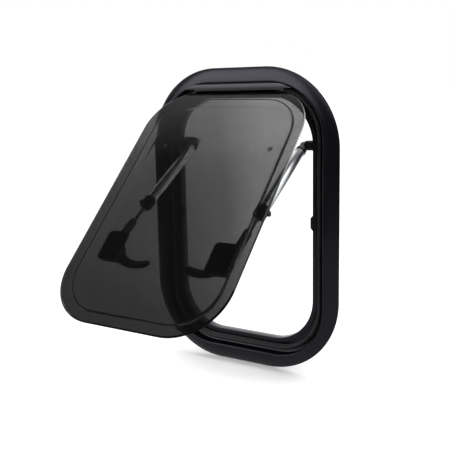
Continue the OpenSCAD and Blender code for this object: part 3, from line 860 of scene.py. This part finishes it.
# %% Bead of adhesive
adhesive, tree, shader = new_material("black adhesive bead")
ripple = noise(tree, add(tree, "ShaderNodeTexCoord").outputs["Object"], 300.0)
tree.links.new(two_tones(tree, ripple, "#0d0d0f", "#17171a"), shader.inputs["Base Color"])
emboss(tree, shader, ripple, 0.3, 0.0003)
shader.inputs["Roughness"].default_value = 0.4
bm = bmesh.new()
skin(bm, [tray_level(0.1, BOND - 0.05), tray_level(0.4, BOND - 0.5), tray_level(0.8, BOND - 0.8),
          tray_level(1.2, BOND - 0.5), tray_level(1.5, BOND - 0.06)], closed=True)
finish_piece("adhesive_bead", bm, swing, adhesive, [])

# %% [markdown]
# ## The vent plugs
# The air between the sheets was let out through two small holes in the tray, each closed with a moulded
# plug. It is milky polyethylene, which lets most of the light through and shows as a small grey spot. A
# plug is a turned shape: a flat head with a rounded rim and a short stud.

# %% Material of the plugs
milky, tree, shader = new_material("milky polyethylene plug")
cloud = noise(tree, add(tree, "ShaderNodeTexCoord").outputs["Object"], 400.0)
tree.links.new(two_tones(tree, cloud, "#c2c4c6", "#d2d3d5"), shader.inputs["Base Color"])
shader.inputs["Roughness"].default_value = 0.45
shader.inputs["Transmission Weight"].default_value = 0.95
shader.inputs["IOR"].default_value = 1.15
print("made", milky.name)

# %% Plugs
PLUG_X, PLUG_S = 99.0, 111.0
for side, tag in SIDES:
    bm = bmesh.new()
    lathe(bm, [(0, 0), (2.5, 0), (2.6, -0.15), (3.9, -0.15), (4.4, 0.1), (4.5, 0.5), (4.45, 1.2), (4.2, 1.48),
               (0, 1.48)], steps=40)
    lathe(bm, [(0, -1.1), (1.9, -1.1), (2.2, -0.85), (2.25, 0.2), (0, 0.2)], steps=32)
    spot = swing @ move((side * PLUG_X, PANE_TOP - PLUG_S, TRAY_BACK - 1.5))
    finish_piece("plug_" + tag, bm, spot, milky, ["vent_plug_" + tag])

# %% [markdown]
# ## The pads
# A small rubber pad on each side of the opening takes the rattle out of the closed pane. It is a moulded
# block with sloped ends and three grip ribs.

# %% Pads
OPEN_W = FRAME_W - 2 * OPEN_INSET
for side, tag in SIDES:
    bm = bmesh.new()
    turn = stand @ flip(side) @ move((OPEN_W / 2, 2.0, -6.7)) @ spin_y(180)
    plate(bm, [(0, -12.5), (4.0, -8.5), (4.0, 8.5), (0, 12.5)], 0.0, 8.0, 0.5, turn)
    for y in (-5, 0, 5):
        block(bm, (3.4, y - 1.0, 1.0), (4.5, y + 1.0, 7.0), 0.3, turn, 2)
    finish_piece("pad_" + tag, bm, Matrix(), rubber, ["frame_pad_" + tag])

# %% [markdown]
# ## The stays
# Each stay is telescopic: a thin rod slides in a tube and a collar at the tube's mouth grips it. The head
# of the tube turns on a pin in a bracket on the frame, and the end of the rod turns on a foot on the
# pane. All pieces of a stay are drawn along the line between its two pins.

# %% Where the stays run
STAY_X, PIVOT_Y, PIVOT_Z = 106.0, 127.0, -25.0
TUBE_START, TUBE_L, TUBE_D, ROD_D = 13.0, 158.0, 17.0, 6.0
LATCH_X, LATCH_S, LATCH_H, LATCH_L = 98.0, 312.0, 13.0, 52.0
SEAT_L = 16.4
FOOT_Y, FOOT_Z = PANE_TOP - LATCH_S + (LATCH_L - SEAT_L) / 2, TRAY_BACK - 15.0
opened = radians(OPEN_ANGLE)
dy, dz = FOOT_Y - AXIS_Y, FOOT_Z - AXIS_Z
run_y = AXIS_Y + dy * cos(opened) + dz * sin(opened) - PIVOT_Y
run_z = AXIS_Z - dy * sin(opened) + dz * cos(opened) - PIVOT_Z
STAY_L = sqrt(run_y ** 2 + run_z ** 2)
stay_turn = atan2(run_z, -run_y)


def stay_axes(side):
    """Local -Y runs down the stay, and local +X points outwards on both sides."""
    return stand @ flip(side) @ move((STAY_X, PIVOT_Y, PIVOT_Z)) @ Matrix.Rotation(-stay_turn, 4, "X")


def latch_axes(side):
    """Local +X points outwards on both sides, +Y up the pane, and the back of the tray is at z = 0."""
    return swing @ move((side * LATCH_X, PANE_TOP - LATCH_S, TRAY_BACK)) @ flip(side)


print("each stay is", round(STAY_L), "mm long between its pins")

# %% [markdown]
# ### Brackets
# A bracket is one moulding: a plate that is screwed to the collar of the frame, and an arm with a
# rounded end that carries the pin.

# %% Brackets and their pins
for side, tag in SIDES:
    across = stand @ flip(side)
    bm = bmesh.new()
    wall = OPEN_W / 2
    block(bm, (wall - 3, PIVOT_Y + 1.5 - 18, PIVOT_Z - 8), (wall, PIVOT_Y + 1.5, PIVOT_Z + 10), 0.9, across)
    turn = across @ move((STAY_X + 3.7, PIVOT_Y, PIVOT_Z)) @ spin_y(90)
    plate(bm, rounded(16, 16, 5.0), 0.0, wall - STAY_X - 6.5, 0.9, turn, 3)
    finish_piece("bracket_" + tag, bm, Matrix(), nylon, ["stay_bracket_" + tag])
    bm = bmesh.new()
    turn = across @ move((STAY_X - 6.2, PIVOT_Y, PIVOT_Z)) @ spin_y(90)
    lathe(bm, [(0, 0.5), (2.2, 0.45), (2.6, 0.0), (4.3, 0.0), (4.9, 0.5), (5.0, 1.0), (5.0, 2.2), (4.8, 2.5),
               (2.5, 2.5), (2.5, 26.6), (0, 26.6)], turn, steps=40)
    screw(bm, across @ move((wall - 3, PIVOT_Y - 12.5, PIVOT_Z)) @ spin_y(-90), 2.3, 1.4)
    finish_piece("bracket_pin_and_screws_" + tag, bm, Matrix(), steel, ["bracket_pin_" + tag])

# %% [markdown]
# ### Heads and tubes
# The head is a moulded eye with a short neck and a cap that closes the tube. The tube is drawn aluminium
# with two rolled grooves near each end, which hold the plug and the collar.

# %% Heads and tubes
for side, tag in SIDES:
    along = stay_axes(side)
    down = along @ spin_x(90)
    bm = bmesh.new()
    eye = arc(0, 0, 6.0, 0, 180, 18) + [(-6.0, -TUBE_START), (6.0, -TUBE_START)]
    plate(bm, eye, -3.5, 3.5, 1.1, along @ spin_y(90), 3)
    cap = [(0, -3.5), (6.2, -3.5), (8.2, -2.2), (8.9, -0.8), (9.0, 6.6), (8.8, 7.0), (8.55, 7.0),
           (8.55, -0.05), (7.2, -0.05), (7.2, 9), (0, 9)]
    lathe(bm, [(r, TUBE_START + z) for r, z in cap], down)
    finish_piece("stay_head_" + tag, bm, Matrix(), nylon, ["tube_eye_" + tag])
    bm = bmesh.new()
    r, end = TUBE_D / 2, TUBE_START + TUBE_L
    outer = [(r - 0.3, TUBE_START), (r, TUBE_START + 0.3)]
    for z in (TUBE_START + 9.0, TUBE_START + 12.0, end - 27.0, end - 24.0):
        outer += [(r, z - 0.7), (r - 0.35, z - 0.35), (r - 0.45, z), (r - 0.35, z + 0.35), (r, z + 0.7)]
    outer += [(r, end - 0.3), (r - 0.3, end), (r - 1.2, end), (r - 1.2, TUBE_START)]
    lathe(bm, outer, down, closed=True, steps=64)
    finish_piece("stay_tube_" + tag, bm, Matrix(), tube_metal, ["stay_tube_" + tag])

# %% [markdown]
# ### Collars, knobs and rods
# The collar is a moulded ring with grip ribs round it, and the small scalloped knob clamps it on the
# rod. The rod is plain drawn aluminium, and half of it is hidden in the tube.

# %% Collars, knobs and rods
CLAMP_D, CLAMP_L = 20.0, 19.0
CLAMP_AT = TUBE_START + TUBE_L - CLAMP_L / 2
for side, tag in SIDES:
    along = stay_axes(side)
    down = along @ spin_x(90)
    bm = bmesh.new()
    r = CLAMP_D / 2
    ribs = [(8.6, CLAMP_AT + 0.2), (r - 0.8, CLAMP_AT)]
    for k in range(6):
        z = CLAMP_AT + k * CLAMP_L / 6
        ribs += [(r - 0.2, z + 0.15), (r, z + 0.4), (r, z + 1.3), (r - 0.2, z + 1.6), (r - 0.8, z + 1.75),
                 (r - 0.8, z + 3.0)]
    ribs += [(r - 1.6, CLAMP_AT + CLAMP_L), (3.4, CLAMP_AT + CLAMP_L), (3.2, CLAMP_AT + CLAMP_L - 0.3),
             (3.2, CLAMP_AT + CLAMP_L / 2), (8.6, CLAMP_AT + CLAMP_L / 2)]
    lathe(bm, ribs, down, closed=True, steps=64)
    finish_piece("stay_collar_" + tag, bm, Matrix(), nylon, ["stay_clamp_" + tag])
    bm = bmesh.new()
    knob = along @ move((CLAMP_D / 2 - 0.2, -CLAMP_AT - CLAMP_L / 2, 0)) @ spin_y(90)
    lathe(bm, [(0, 0), (3, 0), (3, 1.7), (0, 1.7)], knob, steps=32)
    turns = [2 * pi * k / 72 for k in range(72)]
    lobes = [((4.2 + 0.3 * cos(9 * a)) * cos(a), (4.2 + 0.3 * cos(9 * a)) * sin(a)) for a in turns]
    steps = ((0.86, 1.5), (0.97, 1.7), (1.0, 2.1), (1.0, 4.4), (0.96, 4.9), (0.85, 5.3), (0.5, 5.5))
    loft(bm, [[(x * f, y * f, z) for x, y in lobes] for f, z in steps], knob)
    finish_piece("collar_knob_" + tag, bm, Matrix(), nylon, ["clamp_knob_" + tag])
    bm = bmesh.new()
    r, start, end = ROD_D / 2, TUBE_START + TUBE_L / 2, STAY_L - 6.2
    rod = [(0, start), (r - 0.4, start), (r, start + 0.4), (r, end - 0.4), (r - 0.4, end), (0, end)]
    lathe(bm, rod, down)
    finish_piece("stay_rod_" + tag, bm, Matrix(), rod_metal, ["stay_rod_" + tag])

# %% [markdown]
# ### Rod ends and feet
# The rod ends in a moulded eye with a long square neck. It sits between the two cheeks of a foot on the
# upper end of the latch plate, and a pin with riveted heads holds it there.

# %% Rod ends, feet and foot pins
for side, tag in SIDES:
    along = stay_axes(side)
    low_end = along @ move((0, -STAY_L, 0))
    bm = bmesh.new()
    eye = arc(0, 0, 6.0, 180, 360, 18) + [(6.0, 45.0), (5.0, 48.0), (-5.0, 48.0), (-6.0, 45.0)]
    plate(bm, eye, -3.5, 3.5, 1.0, low_end @ spin_y(90), 3)
    lathe(bm, [(2.9, -49.6), (3.3, -49.6), (3.5, -49.2), (3.5, -47.6), (2.9, -47.6)],
          low_end @ spin_x(90), closed=True, steps=32)
    finish_piece("rod_end_eye_" + tag, bm, Matrix(), nylon, ["rod_end_" + tag])
    at_foot = swing @ flip(side) @ move((STAY_X, FOOT_Y, TRAY_BACK))
    bm = bmesh.new()
    plate(bm, rounded(11.8, 14.2, 2.0), -6.2, -4.02, 0.4, at_foot)
    cheek = arc(0, 0, 6.0, 90, 270, 16) + [(9.9, -6.0), (9.9, 6.0)]
    for x in (-1, 1):
        hub = at_foot @ move((x * 4.8, 0, -15.0)) @ spin_y(90)
        flat = [(-p, q) for p, q in cheek]
        plate(bm, [(p, q) for p, q in reversed(flat)], -1.1, 1.1, 0.35, hub)
    finish_piece("stay_foot_" + tag, bm, Matrix(), nylon, ["stay_foot_" + tag])
    bm = bmesh.new()
    half = 5.9
    head = [(2.5, half), (4.0, half + 0.05), (4.0, half + 0.4), (3.6, half + 0.8), (2.4, half + 1.2),
            (0, half + 1.3)]
    rivet = [(r, -z) for r, z in reversed(head)] + head
    lathe(bm, rivet, at_foot @ move((0, 0, -15.0)) @ spin_y(90), steps=32)
    finish_piece("foot_rivet_" + tag, bm, Matrix(), steel, ["foot_pin_" + tag])

# %% [markdown]
# ## The latches
# Each latch is a moulded plate with a block on the tray, and it has a lever that bows towards the
# middle. Turned down, the bow goes behind the edge of the frame and draws the pane onto its seal. The
# plate and the block have rounded edges and are held by four screws.

# %% Latch body and screws
def latch_body(at, tag):
    bm = bmesh.new()
    plate(bm, rounded(38, LATCH_L, 7.0), -4.0, -0.02, 0.6, at)
    plate(bm, rounded(34, LATCH_L - 4 - SEAT_L, 5.5, y=-SEAT_L / 2), -LATCH_H, -3.5, 2.4, at, 4)
    lathe(bm, [(0, -LATCH_H - 0.8), (7.6, -LATCH_H - 0.8), (8.2, -LATCH_H - 0.3), (8.4, -LATCH_H + 0.6),
               (0, -LATCH_H + 0.6)], at)
    finish_piece("latch_body_" + tag, bm, Matrix(), nylon, ["latch_base_" + tag])
    bm = bmesh.new()
    for y in (-19.5, 3.5):
        for x in (11.0, -11.0):
            screw(bm, at @ move((x, y, -LATCH_H + 0.1)) @ spin_x(180), 2.6, 1.3)
    finish_piece("latch_screws_" + tag, bm, Matrix(), steel, [])


print("a latch plate is", LATCH_L, "mm long")

# %% [markdown]
# ### Levers and caps
# The lever has a round hub on the spindle, and its blade is a loft along an arc. Each section says how
# far round the arc it stands, its half width, its half thickness and its tilt. The blade tilts after its
# root, gets narrower in its middle, and a few short sections round its tip. The cap is turned.

# %% Lever
LEVER_R, SWEEP, ROOT, DROP = 0.55 * LATCH_X, 66.0, 44.0, 2.0
BLADE_TILT, ARC_STEPS, TIP_STEPS = radians(26), 36, 6
HUB_TOP = -LATCH_H - 3.0


def latch_lever(at, tag):
    bm = bmesh.new()
    lathe(bm, [(0, -LATCH_H - 0.1), (6.0, -LATCH_H - 0.1), (6.0, HUB_TOP), (10.2, HUB_TOP),
               (10.9, HUB_TOP - 0.7), (11.0, HUB_TOP - 4), (10.9, HUB_TOP - 7.3), (10.2, HUB_TOP - 8),
               (0, HUB_TOP - 8)], at)
    sections = []
    for k in range(ARC_STEPS + 1):
        share = k / ARC_STEPS
        wide = 9.2 - 0.6 * share - 0.7 * sin(pi * share)
        sections.append((radians(-ROOT - SWEEP * share), wide, 3.5 - 0.9 * share,
                         BLADE_TILT * min(1.0, 3 * share)))
    tip, wide = sections[-1][0], 8.6
    for k in range(1, TIP_STEPS + 1):
        t = sin(radians(15 * k))
        sections.append((tip - 9.0 * t / LEVER_R, wide * cos(radians(14.4 * k)), 2.6 - 0.7 * t * t,
                         BLADE_TILT))
    cx, cy = -LEVER_R * cos(radians(ROOT)), LEVER_R * sin(radians(ROOT)) - DROP
    rings = []
    for a, wide, thick, tilt in sections:
        ring = rounded(2 * wide, 2 * thick, min(2.0, wide * 0.95, thick * 0.95), 4)
        ring = [(u * cos(tilt) - v * sin(tilt), u * sin(tilt) + v * cos(tilt)) for u, v in ring]
        rings.append([(cx + (LEVER_R + u) * cos(a), cy + (LEVER_R + u) * sin(a), HUB_TOP - 4 + v)
                      for u, v in ring])
    loft(bm, rings, at)
    finish_piece("latch_lever_" + tag, bm, Matrix(), nylon, ["latch_lever_" + tag])


print("the blade sweeps", SWEEP, "degrees at a radius of", round(LEVER_R, 1), "mm")

# %% Both latches, with their caps
for side, tag in SIDES:
    at = latch_axes(side)
    latch_body(at, tag)
    latch_lever(at, tag)
    bm = bmesh.new()
    lathe(bm, [(0, HUB_TOP - 11), (4.5, HUB_TOP - 10.9), (6.8, HUB_TOP - 10.5), (7.9, HUB_TOP - 9.8),
               (8.4, HUB_TOP - 9.0), (8.5, HUB_TOP - 8), (0, HUB_TOP - 8)], at)
    finish_piece("latch_cap_" + tag, bm, Matrix(), nylon, ["latch_cap_" + tag])

# %% Set the view transform and finish
bpy.context.scene.view_settings.view_transform = "Standard"
